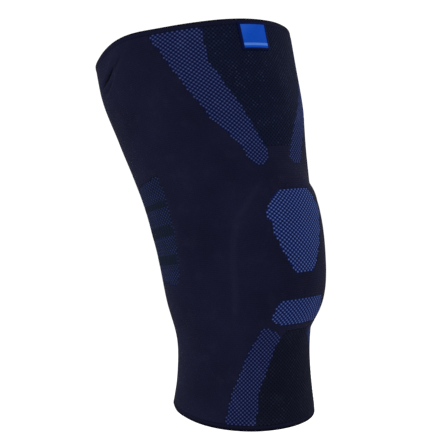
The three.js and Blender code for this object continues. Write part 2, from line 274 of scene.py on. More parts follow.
def spoke(angle, z):
    """Where a spoke leaves the middle line, and the way it points. Angle in radians."""
    y, slope = middle_line(z)
    steep = np.hypot(1, slope)
    hub = np.stack(np.broadcast_arrays(0 * angle, y, z), -1)
    ahead = np.cos(angle)
    way = np.stack(np.broadcast_arrays(np.sin(angle), -ahead / steep, ahead * slope / steep), -1)
    return hub, way


def reach_of_cloth(angle, z):
    """How far from the middle line the outer side of the cloth is, or None past a rim."""
    hub, way = spoke(np.float64(angle), np.float64(z))
    hit = knit_tree.ray_cast(Vector(hub + way * SPOKE_LENGTH), Vector(-way), SPOKE_LENGTH)
    return None if hit[0] is None else SPOKE_LENGTH - hit[3]


def wall_thickness():
    """How thick the knit is at the side of the knee."""
    hub, way = spoke(math.radians(90), np.float64(0))
    inner = knit_tree.ray_cast(Vector(hub), Vector(way), SPOKE_LENGTH)[3]
    return reach_of_cloth(math.radians(90), 0) - inner


def rim_height(angle, end):
    """The height where the cloth stops on one side of the leg, sought round the height of that end."""
    held, free = 0.6 * end, 1.4 * end
    for _ in range(RIM_HALVINGS):
        z = (held + free) / 2
        if reach_of_cloth(angle, z) is None:
            free = z
        else:
            held = z
    return held


def soften(values, spread, axis, closed):
    """Smooths an array along one axis by a bell curve, spread in samples."""
    half = int(math.ceil(3 * spread))
    bell = np.exp(-0.5 * (np.arange(-half, half + 1) / spread) ** 2)
    bell /= bell.sum()
    pad = [(0, 0)] * values.ndim
    pad[axis] = (half, half)
    ends = {"mode": "wrap"} if closed else {"mode": "reflect", "reflect_type": "odd"}
    padded = np.pad(values, pad, **ends)
    return np.apply_along_axis(lambda line: np.convolve(line, bell, "valid"), axis, padded)


def clear_gaps(values):
    """Takes each sample's middle value among its neighbours, which drops the narrow gaps between pieces."""
    rows = np.pad(values, ((1, 1), (0, 0)), mode="edge")
    near = [np.roll(rows[i : i + len(values)], k, axis=1) for i in range(3) for k in (-1, 0, 1)]
    return np.nanmedian(near, axis=0)


def columns_of(table, *names):
    """Some columns of a table of named rows, as lists."""
    return [[row[name] for row in table] for name in names]


def knit_chart():
    """The outer side of the cloth as a grid of stitch corners: points and outward directions."""
    turns = np.arange(SPOKES) * 2 * math.pi / SPOKES - math.pi
    rims = [np.array([rim_height(turn, end.z) for turn in turns]) for end in (calf_end, thigh_end)]
    calf_rim, thigh_rim = [soften(rim, RIM_SMOOTHING, 0, True) for rim in rims]
    low, high = calf_rim.mean(), thigh_rim.mean()
    fine = np.linspace(low, high, 2000)
    run = np.concatenate([[0], np.cumsum(np.hypot(1, middle_line(fine[:-1])[1]) * np.diff(fine))])
    rise = np.linspace(0, 1, COURSES + 1)
    share = rise * (1 - COURSE_SPREAD) + COURSE_SPREAD * rise**2
    level = np.interp(share * run[-1], run, fine)[:, None]
    up, down = np.clip(level / high, 0, 1), np.clip(level / low, 0, 1)
    z = level + (thigh_rim - high) * up + (calf_rim - low) * down
    lowest = np.maximum(rims[0], calf_rim) + RIM_INSET
    highest = np.minimum(rims[1], thigh_rim) - RIM_INSET
    inset = np.clip(z, lowest, highest)
    reach = np.array([[reach_of_cloth(turn, height) for turn, height in zip(turns, row)] for row in inset])
    reach = clear_gaps(reach.astype(float))
    reach = soften(soften(reach, ROUND_SMOOTHING, 1, True), LENGTH_SMOOTHING, 0, False)
    hub, way = spoke(turns[None, :], z)
    rings = hub + way * reach[..., None]
    closed = np.concatenate([rings, rings[:, :1]], axis=1)
    girths = np.linalg.norm(np.diff(closed, axis=1), axis=2)
    points = np.empty((COURSES + 1, WALES, 3))
    turn_share = np.arange(WALES) / WALES
    for row in range(COURSES + 1):
        around = np.concatenate([[0], np.cumsum(girths[row])])
        closer = np.interp(share[row], *columns_of(WALE_SPREAD, "share", "closer"))
        stitches = (turn_share + closer / (2 * math.pi) * np.sin(2 * math.pi * turn_share)) * around[-1]
        for axis in range(3):
            points[row, :, axis] = np.interp(stitches, around, closed[row, :, axis])
    across = np.roll(points, -1, axis=1) - np.roll(points, 1, axis=1)
    normals = np.cross(across, np.gradient(points, axis=0))
    normals /= np.linalg.norm(normals, axis=2, keepdims=True)
    along = share * run[-1] - np.interp(0, fine, run)
    return points, normals, along, girths.sum(axis=1).mean()


cloth_points, cloth_normals, course_along, mean_girth = knit_chart()
wall = wall_thickness()
recess = RECESS_SHARE * wall
wale_width = mean_girth / WALES
sleeve_length = course_along[-1] - course_along[0]
course_height = sleeve_length / COURSES


def curve_weights(t):
    """The four weights of a smooth curve through evenly spaced values."""
    return [
        ((2 - t) * t - 1) * t / 2,
        ((3 * t - 5) * t * t + 2) / 2,
        ((4 - 3 * t) * t + 1) * t / 2,
        (t - 1) * t * t / 2,
    ]


def read_chart(grid, wale, course):
    """A smooth reading of a chart's grid at any stitch places."""
    course = np.clip(course, 0, COURSES)
    column = np.floor(wale).astype(int)
    row = np.minimum(np.floor(course).astype(int), COURSES - 1)
    total = 0
    for i, by_row in enumerate(curve_weights(course - row)):
        for k, by_column in enumerate(curve_weights(wale - column)):
            near = grid[np.clip(row + i - 1, 0, COURSES), (column + k - 1) % WALES]
            total = total + near * (by_row * by_column)[:, None]
    return total


def stitch_place(angle, along):
    """The stitch place of an angle in degrees and a length along the leg from the knee, in metres."""
    return (angle / 360 + 0.5) * WALES, np.interp(along, course_along, np.arange(COURSES + 1))


def across_and_up(wale, course, angle, along):
    """How far stitch places lie from a point of the cloth, round the leg and up it, in metres."""
    middle_wale, middle_course = stitch_place(angle, along)
    around = (wale - middle_wale + WALES / 2) % WALES - WALES / 2
    return around * wale_width, (course - middle_course) * course_height


def pad_ridge(wale, course):
    """The soft ridge where the hidden ring pad ends, on both sides of the kneecap."""
    places = [stitch_place(row["angle"], row["along"] * MM) for row in reversed(PAD_EDGE)]
    courses = [place[1] for place in places]
    offsets = [place[0] - FRONT_WALE for place in places]
    edge = np.interp(course, courses, offsets)
    miss = (np.abs(wale - FRONT_WALE) - edge) * wale_width
    foot = np.clip((course - courses[0]) / PAD_RIDGE_FADES["foot"] + 0.5, 0, 1)
    head = np.clip((courses[-1] - course) / PAD_RIDGE_FADES["head"] + 0.5, 0, 1)
    return PAD_RIDGE * (foot * head) * np.exp(-((miss / PAD_RIDGE_WIDTH) ** 2))


def stay_ridge(wale, course):
    """The long low ridges over the hidden stays at the two sides."""
    miss = (np.abs(wale - FRONT_WALE) - STAY_ANGLE / 360 * WALES) * wale_width
    share = course / COURSES
    foot = np.clip((share - STAY_FOOT["share"]) / STAY_FOOT["fade"], 0, 1)
    head = np.clip((STAY_HEAD["share"] - share) / STAY_HEAD["fade"], 0, 1)
    return STAY_RIDGE * (foot * head) * np.exp(-((miss / STAY_WIDTH) ** 2))


def back_folds(wale, course):
    """The small slanting folds at the slack upper back."""
    total = np.zeros(len(wale))
    for fold in BACK_FOLDS:
        around, up = across_and_up(wale, course, fold["angle"], fold["along"] * MM)
        slant = math.radians(fold["slant"])
        lengthwise = around * math.cos(slant) + up * math.sin(slant)
        sideways = up * math.cos(slant) - around * math.sin(slant)
        half = fold["length"] / 2 * MM
        sideways = sideways + FOLD_BEND * half * np.cos(lengthwise / half * 2)
        groove = np.exp(-((sideways / FOLD_WIDTH) ** 2))
        banks = np.exp(-(((np.abs(sideways) - 2 * FOLD_WIDTH) / FOLD_WIDTH) ** 2))
        dent = groove - FOLD_BANKS * banks
        total -= FOLD_DEPTH * fold["depth"] * dent * np.exp(-((lengthwise / half) ** 2))
    return total


def slack_waves(wale, course):
    """Slow uneven waves, as knit drawn over a leg has between its tight places."""
    turn = wale / WALES * 2 * math.pi
    rise = course / COURSES * 2 * math.pi
    total = 0
    for wave in SLACK_WAVES:
        phase = wave["around"] * turn + wave["along"] * rise + wave["start"]
        total = total + wave["size"] * np.sin(phase)
    return SLACK * total / SLACK_WAVES_REACH


def cloth_form(wale, course):
    """What stands up from the plain form of the cloth, in metres."""
    parts = (pad_ridge, stay_ridge, back_folds, slack_waves)
    return sum(part(wale, course) for part in parts)


def ridge_highlight_and_fold_shade(wale, course):
    """Painted light: up to 1 for a painted highlight on the pad's ridge, down to -1 for painted shade in the
    folds.
    """
    return pad_ridge(wale, course) / PAD_RIDGE + np.clip(back_folds(wale, course) / FOLD_DEPTH, -1, 0)


def on_cloth(wale, course, height):
    """Points at some height over the outer side of the cloth."""
    points = read_chart(cloth_points, wale, course)
    normals = read_chart(cloth_normals, wale, course)
    normals /= np.linalg.norm(normals, axis=1, keepdims=True)
    return points + normals * (height + LOFT + cloth_form(wale, course))[:, None]


def stitch_zones():
    """Which frame node each stitch of the chart belongs to, with lone stitches given to the plain knit."""
    rows, columns = np.mgrid[0:COURSES, 0:WALES]
    near, far = [np.interp(rows, *columns_of(SIDE_TURNS, "course", side)) for side in ("near", "far")]
    places = columns + 0.5 + np.where(columns > FRONT_WALE, -far, near)
    centres = read_chart(cloth_points, places.ravel(), rows.ravel() + 0.5)
    nearest = [knit_owners[knit_tree.find_nearest(Vector(centre))[2]] for centre in centres]
    zones = np.array(nearest).reshape(COURSES, WALES)
    for _ in range(2):
        same = sum((zones == np.roll(zones, step, axis)).astype(int) for step in (-1, 1) for axis in (0, 1))
        zones = np.where((same < 2) & (zones != "knit_sleeve"), "knit_sleeve", zones)
    return zones


zones = stitch_zones()
calf_rim_courses = int(np.median((zones == "bottom_welt").sum(axis=0)))
thigh_rim_courses = int(np.median((zones == "top_welt").sum(axis=0)))
body_foot = calf_rim_courses
body_head = COURSES - thigh_rim_courses
zones[(zones == "bottom_welt") | (zones == "top_welt")] = "knit_sleeve"
body = np.zeros((COURSES, WALES), bool)
body[body_foot:body_head] = True


class Lattice:
    """Numbers the corners of the facets in a chart where each stitch holds some facets each way."""

    def __init__(self, fineness):
        self.fineness = fineness
        self.columns = WALES * fineness
        self.size = self.columns * (COURSES * fineness + 1)

    def key(self, column, row):
        """The number of a corner."""
        return row * self.columns + column % self.columns

    def place(self, keys):
        """The stitch places of some corners."""
        return (keys % self.columns) / self.fineness, (keys // self.columns) / self.fineness

    def facets(self, mask):
        """The corner keys of every facet of the stitches in a mask."""
        course, wale = np.nonzero(mask)
        n = self.fineness
        quads = []
        for i in range(n):
            for k in range(n):
                column, row = wale * n + k, course * n + i
                corners = [(0, 0), (1, 0), (1, 1), (0, 1)]
                quads.append(np.stack([self.key(column + dx, row + dy) for dx, dy in corners], -1))
        return np.concatenate(quads)

    def edges(self, mask):
        """The steps along the outline of a mask, with the stitches of the mask on their left."""
        n = self.fineness
        below = np.zeros_like(mask)
        below[1:] = mask[:-1]
        above = np.zeros_like(mask)
        above[:-1] = mask[1:]
        sides = [
            (below, (0, 0), (1, 0)),
            (np.roll(mask, -1, 1), (n, 0), (0, 1)),
            (above, (n, n), (-1, 0)),
            (np.roll(mask, 1, 1), (0, n), (0, -1)),
        ]
        steps = []
        for neighbour, start, step in sides:
            course, wale = np.nonzero(mask & ~neighbour)
            for k in range(n):
                column = wale * n + start[0] + k * step[0]
                row = course * n + start[1] + k * step[1]
                steps.append(np.stack([self.key(column, row), self.key(column + step[0], row + step[1])], -1))
        return np.concatenate(steps)

    def underside(self, mask):
        """One face for each stitch, with the outline's corners in it so that no crack opens."""
        outline = set(self.edges(mask)[:, 0].tolist())
        n = self.fineness
        faces = []
        for course, wale in zip(*np.nonzero(mask)):
            ring = [(k, 0) for k in range(n)] + [(n, k) for k in range(n)]
            ring += [(n - k, n) for k in range(n)] + [(0, n - k) for k in range(n)]
            keys = [int(self.key(wale * n + dx, course * n + dy)) for dx, dy in ring]
            kept = [key for i, key in enumerate(keys) if i % n == 0 or key in outline]
            faces.append(kept[::-1])
        return faces


def numbers_of(items, name):
    """One whole number of each of a mesh's loops or faces."""
    values = np.empty(len(items), int)
    items.foreach_get(name, values)
    return values


def cloth_object(name, points, faces, stitches, tone=None):
    """A smooth-shaded mesh with its stitch places as a UV map, and a tone at each point."""
    mesh = bpy.data.meshes.new(name)
    mesh.from_pydata(points.tolist(), [], faces)
    mesh.polygons.foreach_set("use_smooth", np.ones(len(mesh.polygons), bool))
    corners = numbers_of(mesh.loops, "vertex_index")
    starts, sizes = [numbers_of(mesh.polygons, name) for name in ("loop_start", "loop_total")]
    wale, course = stitches[0][corners], stitches[1][corners]
    highest = np.repeat(np.maximum.reduceat(wale, starts), sizes)
    wale = np.where(highest - wale > WALES / 2, wale + WALES, wale)
    uv = mesh.uv_layers.new(name="Knit")
    uv.data.foreach_set("uv", np.stack([wale, course], -1).astype(np.float32).ravel())
    if tone is not None:
        mesh.attributes.new("Tone", "FLOAT", "POINT").data.foreach_set("value", tone.astype(np.float32))
    mesh.validate()
    mesh.update()
    piece = bpy.data.objects.new(name, mesh)
    bpy.context.scene.collection.objects.link(piece)
    return piece


def place_piece(piece, slot, material, *nodes):
    """Dresses a piece, rides it on the body and lets it stand for its frame nodes."""
    piece.data.materials.append(material)
    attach(piece, "root")
    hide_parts(*nodes)
    return piece


def even_tone(value):
    """The same tone all over a knit."""
    return lambda wale, course: np.full(len(wale), value)


def inlaid_knit(name, mask, fineness, relief, tone):
    """A closed piece of knit over the stitches of a mask, with its loops in relief, sunk into the tube."""
    lattice = Lattice(fineness)
    top = lattice.facets(mask)
    edges = lattice.edges(mask)
    under = lattice.underside(mask)
    top_keys = np.unique(top)
    under_keys = np.unique(np.concatenate(under))
    wale, course = lattice.place(np.concatenate([top_keys, under_keys]))
    on_top = np.arange(len(wale)) < len(top_keys)
    height = np.where(on_top, relief(wale, course), -recess)

    def spot(keys):
        return np.searchsorted(top_keys, keys)

    def deep(keys):
        return np.searchsorted(under_keys, keys) + len(top_keys)

    faces = spot(top).tolist()
    start, end = edges[:, 0], edges[:, 1]
    faces += np.stack([spot(end), spot(start), deep(start), deep(end)], -1).tolist()
    faces += [deep(np.array(face)).tolist() for face in under]
    return cloth_object(name, on_cloth(wale, course, height), faces, (wale, course), tone(wale, course))


def knit_tube():
    """The main tube: its outer side with a recess for each inlaid knit, its inner side and its two ends."""
    plain = body & (zones == "knit_sleeve")
    sunk = body & ~plain
    lattice = Lattice(1)
    edges = lattice.edges(plain)
    on_rim = np.isin(edges // WALES, [body_foot, body_head])
    walls = edges[~on_rim.all(axis=1)]
    top, floor = lattice.facets(plain), lattice.facets(sunk)
    layers = [
        (np.unique(top), 0.0),
        (np.unique(np.concatenate([floor.ravel(), walls.ravel()])), -recess - RECESS_ROOM),
    ]
    inner_columns = np.arange(0, WALES, 2)
    inner_rows = np.arange(body_foot, body_head + 1, 2)
    if inner_rows[-1] != body_head:
        inner_rows = np.append(inner_rows, body_head)
    inner_keys = (inner_rows[:, None] * WALES + inner_columns[None, :]).ravel()
    layers.append((inner_keys, -wall))
    starts = np.cumsum([0] + [len(keys) for keys, _ in layers])

    def spot(layer, keys):
        return np.searchsorted(layers[layer][0], keys) + starts[layer]

    faces = spot(0, top).tolist() + spot(1, floor).tolist()
    a, b = walls[:, 0], walls[:, 1]
    faces += np.stack([spot(0, b), spot(0, a), spot(1, a), spot(1, b)], -1).tolist()
    for low, high in zip(inner_rows[:-1], inner_rows[1:]):
        left = inner_columns
        right = (inner_columns + 2) % WALES
        ring = [low * WALES + left, high * WALES + left, high * WALES + right, low * WALES + right]
        faces += np.stack([spot(2, keys) for keys in ring], -1).tolist()
    for row, edge_course, way in ((body_foot, body_foot, 1), (body_head, body_head - 1, -1)):
        layer = np.where(plain[edge_course], 0, 1)
        for left in inner_columns:
            outer = []
            for own, at in ((0, 0), (0, 1), (1, 1), (1, 2), (2, 2)):
                corner = int(spot(layer[(left + own) % WALES], row * WALES + (left + at) % WALES))
                if corner not in outer:
                    outer.append(corner)
            inner = [int(spot(2, row * WALES + (left + k) % WALES)) for k in (0, 2)]
            face = [*outer[::-1], inner[0], inner[1]]
            faces.append(face[::way])
    wale, course = lattice.place(np.concatenate([keys for keys, _ in layers]))
    height = np.concatenate([np.full(len(keys), depth) for keys, depth in layers])
    # The tube's tone is painted light: a highlight on the pad's ridge and shade in the back folds
    tones = ridge_highlight_and_fold_shade(wale, course)
    return cloth_object("knit_tube", on_cloth(wale, course, height), faces, (wale, course), tones)


def squared(wave):
    """A wave with its rounds made squarer."""
    return np.sign(wave) * np.abs(wave) ** RIM_SQUARENESS


def rolled_rim(name, foot, head):
    """A finished edge: a ring of fine ribs with a rounded section, between two courses."""
    columns = WALES * RIM_FINENESS
    section = np.arange(RIM_CORNERS) * 2 * math.pi / RIM_CORNERS
    wale = np.repeat(np.arange(columns) / RIM_FINENESS, len(section))
    turn = np.tile(section, columns)
    course = foot + (head - foot) * (0.5 + 0.5 * squared(np.cos(turn)))
    out = 0.5 + 0.5 * squared(np.sin(turn))
    height = (out - 1) * wall + RIM_RIB * out * np.cos(2 * math.pi * wale)
    column, k = np.divmod(np.arange(columns * RIM_CORNERS), RIM_CORNERS)
    further = (k + 1) % RIM_CORNERS
    here, beyond = column * RIM_CORNERS, (column + 1) % columns * RIM_CORNERS
    faces = np.stack([here + k, here + further, beyond + further, beyond + k], -1)
    return cloth_object(name, on_cloth(wale, course, height), faces.tolist(), (wale, course))


def mesh_loops(wale, course):
    """Raised loops and open holes in turn, as on a chequerboard."""
    return MESH_LOOP * np.sin(math.pi * wale) * np.sin(math.pi * course)


def panel_loops(wale, course):
    """The same loops, nearly flat."""
    return PANEL_LOOP * np.sin(math.pi * wale) * np.sin(math.pi * course)


hollow_widths = (zones == "knee_hollow_mesh").sum(axis=1)
hollow_rows = np.nonzero(hollow_widths)[0]
hollow_foot, hollow_head = hollow_rows[0], hollow_rows[-1] + 1


def stripe_tone(wale, course):
    """1 on the blue stripes of the hollow's knit and on its side edges, 0 between them."""
    share = (course - hollow_foot) / (hollow_head - hollow_foot)
    tone = np.zeros(len(share))
    for stripe in HOLLOW_STRIPES:
        above_foot = np.clip((share - stripe["foot"]) / STRIPE_BLUR + 0.5, 0, 1)
        below_head = np.clip((stripe["head"] - share) / STRIPE_BLUR + 0.5, 0, 1)
        tone += above_foot * below_head
    from_back = np.abs((wale + WALES / 2) % WALES - WALES / 2)
    from_edge = np.interp(course, np.arange(COURSES) + 0.5, hollow_widths / 2) - from_back
    return np.maximum(tone, np.clip(STRIPE_SELVEDGE - from_edge, 0, 1))


def hollow_ribs(wale, course):
    """Upright ribs, flatter on the stripes, where small loops stand up instead."""
    tone = stripe_tone(wale, course)
    ribs = np.cos(math.pi * wale) * (1 - RIB_LOSS * tone)
    loops = tone * np.sin(math.pi * wale) * np.sin(math.pi * course)
    return HOLLOW_RIB * (RIB_SHARE * ribs + RIB_SHARE * loops - RIB_SINK)


def label_corners():
    """The stitch places of the label's corners, from the frame."""
    spots = np.array([vertex.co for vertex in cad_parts["label"].data.vertices])
    grid = cloth_points.reshape(-1, 3)
    nearest = [int(np.argmin(((grid - spot) ** 2).sum(axis=1))) for spot in spots]
    places = np.array([(key % WALES, key // WALES) for key in nearest], float)
    return [places[np.argmax(places @ np.array(way))] for way in CORNER_WAYS]


def woven_label():
    """A small woven patch with raised selvedges, laid on the cloth under the thigh rim."""
    border = LABEL_BORDER / np.array([wale_width, course_height])
    moves = zip(label_corners(), CORNER_WAYS, LABEL_SHIFTS)
    corners = [corner + border * way + shift for corner, way, shift in moves]
    columns, rows = LABEL_FACETS
    p, q = np.meshgrid(np.linspace(0, 1, columns + 1), np.linspace(0, 1, rows + 1))
    p, q = p.ravel(), q.ravel()
    foot = corners[0] + (corners[1] - corners[0]) * p[:, None]
    head = corners[3] + (corners[2] - corners[3]) * p[:, None]
    wale, course = (foot + (head - foot) * q[:, None]).T
    edge = np.minimum(np.minimum(p, 1 - p), np.minimum(q, 1 - q))
    selvedge = LABEL_SELVEDGE * np.exp(-(((edge - LABEL_EDGE / 2) / (LABEL_EDGE / 3)) ** 2))
    crown = LABEL_CROWN * (16 * p * (1 - p) * q * (1 - q))
    rolled = -0.5 * LABEL_THICKNESS * np.exp(-edge / LABEL_ROLL)
    top = LABEL_LIFT + LABEL_THICKNESS + selvedge + crown + rolled
    bottom = np.full(len(p), LABEL_LIFT)
    points = np.concatenate([on_cloth(wale, course, top), on_cloth(wale, course, bottom)])
    across = columns + 1
    count = across * (rows + 1)
    cells = [k + i * across for i in range(rows) for k in range(columns)]
    faces = [[c, c + 1, c + 1 + across, c + across] for c in cells]
    faces += [[count + c + across, count + c + across + 1, count + c + 1, count + c] for c in cells]
    ring = list(range(columns))
    ring += [columns + i * across for i in range(rows)]
    ring += [rows * across + columns - k for k in range(columns)]
    ring += [(rows - i) * across for i in range(rows)]
    for a, b in zip(ring, ring[1:] + ring[:1]):
        faces.append([b, a, count + a, count + b])
    piece = cloth_object("woven_label", points, faces, (np.tile(wale, 2), np.tile(course, 2)))
    sides = piece.data.uv_layers.new(name="Label")
    square = np.stack([np.tile(p, 2), np.tile(q, 2)], -1)[numbers_of(piece.data.loops, "vertex_index")]
    sides.data.foreach_set("uv", square.astype(np.float32).ravel())
    return piece


class Bench:
    """Lays out and joins the nodes of one material or group."""

    def __init__(self, tree):
        self.tree = tree
        self.count = 0

    def add(self, kind, values=None, **settings):
        """A new node, set a little apart from the last, with some sockets fed."""
        node = self.tree.nodes.new(kind)
        node.location = (180 * (self.count % 12), -220 * (self.count // 12))
        self.count += 1
        for name, value in settings.items():
            setattr(node, name, value)
        for socket, value in (values or {}).items():
            self.feed(node.inputs[socket], value)
        return node

    def feed(self, socket, value):
        if isinstance(value, bpy.types.NodeSocket):
            self.tree.links.new(value, socket)
        else:
            socket.default_value = value

    def sum(self, operation, *values):
        """One step of arithmetic."""
        node = self.add("ShaderNodeMath", operation=operation)
        for socket, value in zip(node.inputs, values):
            self.feed(socket, value)
        return node.outputs[0]

    def times(self, *values):
        return self.sum("MULTIPLY", *values)

    def scaled(self, vector, factor):
        """A vector or colour times a number."""
        return self.add("ShaderNodeVectorMath", {0: vector, "Scale": factor}, operation="SCALE").outputs[0]

    def mix(self, share, first, second):
        """The first colour at share 0, the second at 1."""
        node = self.add("ShaderNodeMix", data_type="RGBA")
        for socket, value in zip((node.inputs[0], node.inputs[6], node.inputs[7]), (share, first, second)):
            self.feed(socket, value)
        return node.outputs[2]

    def ramp(self, value, low, high):
        """0 below low, 1 above high, with a soft step between."""
        node = self.add("ShaderNodeMapRange", interpolation_type="SMOOTHSTEP")
        for socket, part in zip(node.inputs, (value, low, high)):
            self.feed(socket, part)
        return node.outputs[0]

    def noise(self, vector, scale, detail=2.0, rough=0.5):
        values = {"Vector": vector, "Scale": scale, "Detail": detail, "Roughness": rough}
        return self.add("ShaderNodeTexNoise", values).outputs["Fac"]


def new_group(name, inputs, outputs):
    """An empty shader group with its named sockets, and the bench to fill it."""
    group = bpy.data.node_groups.new(name, "ShaderNodeTree")
    for way, sockets in (("INPUT", inputs), ("OUTPUT", outputs)):
        for label, kind, *value in sockets:
            socket = group.interface.new_socket(name=label, in_out=way, socket_type="NodeSocket" + kind)
            if value:
                socket.default_value = value[0]
    bench = Bench(group)
    return group, bench, bench.add("NodeGroupInput").outputs, bench.add("NodeGroupOutput").inputs


def loop_lattice_group():
    """Raised loops and holes in turn, as masks and a height, from the stitch places."""
    group, bench, given, out = new_group(
        "loop_lattice",
        [("Stitches", "Vector"), ("Loop Size", "Float", 0.3), ("Hole Size", "Float", 0.3)],
        [("Loop", "Float"), ("Hole", "Float"), ("Height", "Float")],
    )
    place = bench.add("ShaderNodeSeparateXYZ", {"Vector": given["Stitches"]}).outputs
    waves = [bench.sum("SINE", bench.times(place[axis], math.pi)) for axis in (0, 1)]
    wave = bench.times(*waves)
    loop_edge = bench.sum("SUBTRACT", 1.0, given["Loop Size"])
    hole_edge = bench.sum("SUBTRACT", 1.0, given["Hole Size"])
    bench.feed(out["Loop"], bench.ramp(wave, bench.sum("SUBTRACT", loop_edge, 0.3), loop_edge))
    dip = bench.times(wave, -1.0)
    bench.feed(out["Hole"], bench.ramp(dip, bench.sum("SUBTRACT", hole_edge, 0.3), hole_edge))
    bench.feed(out["Height"], wave)
    return group


def plain_stitch_group():
    """The small V of each plain stitch, as a height and a shade, from the stitch places."""
    group, bench, given, out = new_group(
        "plain_stitch",
        [("Stitches", "Vector"), ("Stitches Across", "Float", 1.0)],
        [("Height", "Float"), ("Shade", "Float")],
    )
    finer = bench.scaled(given["Stitches"], given["Stitches Across"])
    place = bench.add("ShaderNodeSeparateXYZ", {"Vector": finer}).outputs
    side = bench.sum("ABSOLUTE", bench.sum("SUBTRACT", bench.sum("FRACT", place[0]), 0.5))
    slanted = bench.sum("SUBTRACT", place[1], bench.times(side, 0.9))
    yarn = bench.sum("SINE", bench.times(slanted, 2 * math.pi))
    leg = bench.sum("SINE", bench.times(side, 2 * math.pi))
    lift = bench.sum("MULTIPLY_ADD", yarn, 0.5, 0.5)
    bench.feed(out["Height"], bench.times(lift, bench.sum("MULTIPLY_ADD", leg, 0.7, 0.3)))
    bench.feed(out["Shade"], bench.times(lift, leg))
    return group


def yarn_fuzz_group():
    """Fine fibres: a mask of stray lighter fibres and a height for the nap."""
    group, bench, given, out = new_group(
        "yarn_fuzz",
        [("Fineness", "Float", 1.0), ("Amount", "Float", 0.5)],
        [("Fibres", "Float"), ("Height", "Float")],
    )
    place = bench.add("ShaderNodeTexCoord").outputs["Object"]
    nap = bench.noise(place, bench.times(given["Fineness"], 2600.0), 3.0, 0.6)
    stray = bench.noise(place, bench.times(given["Fineness"], 900.0), 4.0, 0.7)
    bench.feed(out["Fibres"], bench.times(bench.ramp(stray, 0.5, 0.78), given["Amount"]))
    bench.feed(out["Height"], bench.times(nap, given["Amount"]))
    return group


def worn_colour_group():
    """Uneven dye over the cloth, and a lighter, rubbed look in patches."""
    group, bench, given, out = new_group(
        "worn_colour",
        [
            ("Color", "Color", (0.1, 0.1, 0.1, 1)),
            ("Worn Color", "Color", (0.2, 0.2, 0.2, 1)),
            ("Dye", "Float", 0.3),
            ("Wear", "Float", 0.3),
        ],
        [("Color", "Color")],
    )
    place = bench.add("ShaderNodeTexCoord").outputs["Object"]
    cloud = bench.noise(place, 22.0, 4.0, 0.55)
    patch = bench.noise(place, 70.0, 3.0, 0.6)
    dyed = bench.sum("MULTIPLY_ADD", bench.sum("SUBTRACT", cloud, 0.5), given["Dye"], 1.0)
    worn = bench.times(bench.ramp(patch, 0.52, 0.75), given["Wear"])
    bench.feed(out["Color"], bench.mix(worn, bench.scaled(given["Color"], dyed), given["Worn Color"]))
    return group


loop_lattice = loop_lattice_group()
plain_stitch = plain_stitch_group()
yarn_fuzz = yarn_fuzz_group()
worn_colour = worn_colour_group()


def knit_material(name, roughness, sheen):
    """A cloth material with its even values set, and the bench, shader and stitch places to finish it."""
    material = bpy.data.materials.new(name)
    material.use_nodes = True
    bench = Bench(material.node_tree)
    shader = material.node_tree.nodes["Principled BSDF"]
    shader.inputs["Roughness"].default_value = roughness
    shader.inputs["Specular IOR Level"].default_value = CLOTH_SPECULAR
    shader.inputs["Sheen Weight"].default_value = sheen
    shader.inputs["Sheen Roughness"].default_value = CLOTH_SHEEN_ROUGHNESS
    shader.inputs["Sheen Tint"].default_value = CLOTH_SHEEN_TINT
    stitches = bench.add("ShaderNodeUVMap", uv_map="Knit").outputs[0]
    return material, bench, shader, stitches


def tone_of(bench):
    """The tone that is kept at each point of the cloth."""
    return bench.add("ShaderNodeAttribute", attribute_name="Tone").outputs["Fac"]


def with_bump(bench, shader, *layers):
    """Layers of bump, each a height, a distance in metres and a strength."""
    normal = None
    for height, distance, strength in layers:
        bump = bench.add("ShaderNodeBump", {"Height": height, "Distance": distance, "Strength": strength})
        if normal is not None:
            bench.feed(bump.inputs["Normal"], normal)
        normal = bump.outputs[0]
    bench.feed(shader.inputs["Normal"], normal)


def use_group(bench, group, **values):
    """Places a shared group in a material with its own values."""
    sockets = {name.replace("_", " "): value for name, value in values.items()}
    return bench.add("ShaderNodeGroup", sockets, node_tree=group).outputs


def dyed_yarn(bench, colour, worn, dye, wear):
    """A yarn's colour with its share of uneven dye and of wear."""
    return use_group(bench, worn_colour, Color=colour, Worn_Color=worn, Dye=dye, Wear=wear)["Color"]


def plain_knit_cloth():
    """Very dark navy fine knit with painted stitch shading, a painted highlight on the pad's ridge and
    painted shade in the folds.
    """
    material, bench, shader, stitches = knit_material("plain_knit_cloth", 0.8, 0.008)
    stitch = use_group(bench, plain_stitch, Stitches=stitches)
    fuzz = use_group(bench, yarn_fuzz, Fineness=1.0, Amount=0.6)
    colour = dyed_yarn(bench, (0.005, 0.0054, 0.0165, 1), (0.011, 0.011, 0.026, 1), 1.3, 0.3)
    lit = bench.mix(bench.times(stitch["Shade"], 0.35), colour, (0.011, 0.0115, 0.03, 1))
    fibrous = bench.mix(bench.times(fuzz["Fibres"], 0.2), lit, (0.02, 0.02, 0.04, 1))
    tone = tone_of(bench)
    # Painted highlight along the pad's ridge, and painted shade in the back folds, from the tube's tone
    painted_ridge_highlight = bench.times(bench.ramp(tone, 0.0, 1.0), 0.14)
    painted_fold_shade = bench.times(bench.ramp(bench.times(tone, -1.0), 0.1, 0.8), 0.85)
    ridge_highlighted = bench.mix(painted_ridge_highlight, fibrous, (0.016, 0.0165, 0.036, 1))
    bench.feed(shader.inputs["Base Color"], bench.mix(painted_fold_shade, ridge_highlighted, (0.0008, 0.0008, 0.003, 1)))
    with_bump(bench, shader, (stitch["Height"], 0.25 * MM, 0.8), (fuzz["Height"], 0.1 * MM, 0.6))
    return material


